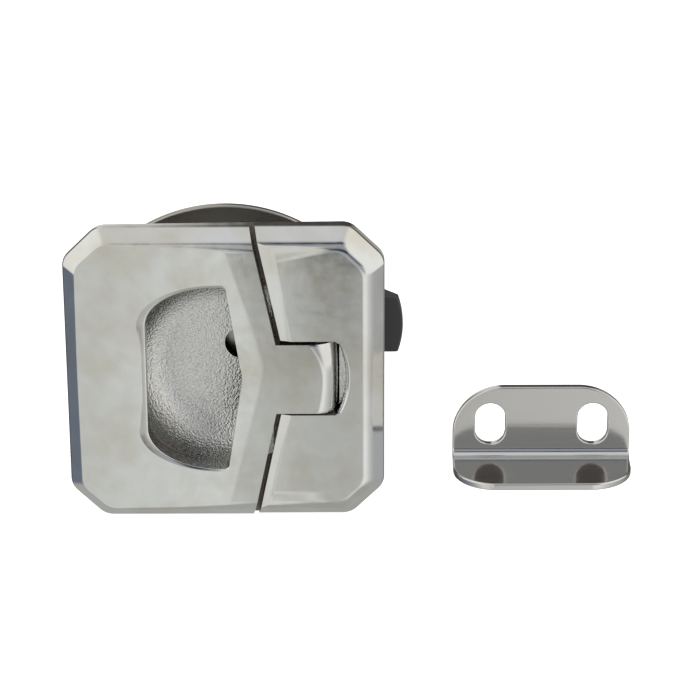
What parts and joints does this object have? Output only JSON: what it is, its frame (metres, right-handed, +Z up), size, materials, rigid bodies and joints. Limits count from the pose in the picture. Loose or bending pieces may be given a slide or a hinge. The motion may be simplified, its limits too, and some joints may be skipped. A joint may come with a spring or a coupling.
{
  "type": "slam latch",
  "caption": "Square flush slam latch with a hinged lift handle, sprung side bolt, rear clamp plate and a loose slotted L strike.",
  "frame": {"origin": "centre of the panel hole, in the plane of the panel's front face where the housing's flange seats", "axes": "+X the way the bolt points, +Y into the panel, +Z up; the front faces -Y"},
  "size_m": [0.1139, 0.0494, 0.064],
  "materials": {
    "polished_cast_steel": "polished cast 316 stainless steel",
    "sheet_steel": "polished stainless sheet",
    "fastener_steel": "stainless screws, washers and pins",
    "spring_steel": "drawn spring wire",
    "black_acetal": "moulded black acetal",
    "black_nylon": "moulded black glass-filled nylon"
  },
  "bodies": {
    "latch_body": {"housing": "polished_cast_steel", "pivot_pin": "fastener_steel", "handle_spring": "spring_steel", "mounting_plate": "sheet_steel", "bolt_case": "black_nylon", "case_cover": "sheet_steel", "cover_screw_1": "fastener_steel", "cover_screw_2": "fastener_steel", "cover_screw_3": "fastener_steel", "cover_screw_4": "fastener_steel", "clamp_screw_1": "fastener_steel", "clamp_screw_2": "fastener_steel", "clamp_screw_3": "fastener_steel", "clamp_screw_4": "fastener_steel", "clamp_washer_1": "fastener_steel", "clamp_washer_2": "fastener_steel", "clamp_washer_3": "fastener_steel", "clamp_washer_4": "fastener_steel", "bolt_spring": "spring_steel"},
    "lift_handle": {"handle": "polished_cast_steel"},
    "slam_bolt": {"bolt": "black_acetal", "bolt_drive_pin": "fastener_steel"},
    "strike_plate": {"strike": "sheet_steel"}
  },
  "joints": [
    {"name": "handle_lift", "type": "hinge", "parent": "latch_body", "child": "lift_handle", "pos_m": [0.019, -0.0022, 0], "axis": [0, 0, 1], "range_deg": [0, 20], "stiffness_Nm_per_rad": 0.02, "springref_deg": -28.65, "deforming": ["handle_spring"]},
    {"name": "bolt_slide", "type": "slide", "parent": "latch_body", "child": "slam_bolt", "axis": [1, 0, 0], "range_m": [-0.0096, 0], "stiffness_N_per_m": 150, "springref_m": 0.006, "deforming": ["bolt_spring"]},
    {"name": "strike_adjust", "type": "slide", "parent": "latch_body", "child": "strike_plate", "axis": [0, 0, 1], "range_m": [-0.0014, 0.0014]}
  ],
  "couplings": [
    {"joint": "bolt_slide", "follows": "handle_lift", "m_per_rad": -0.0275}
  ]
}
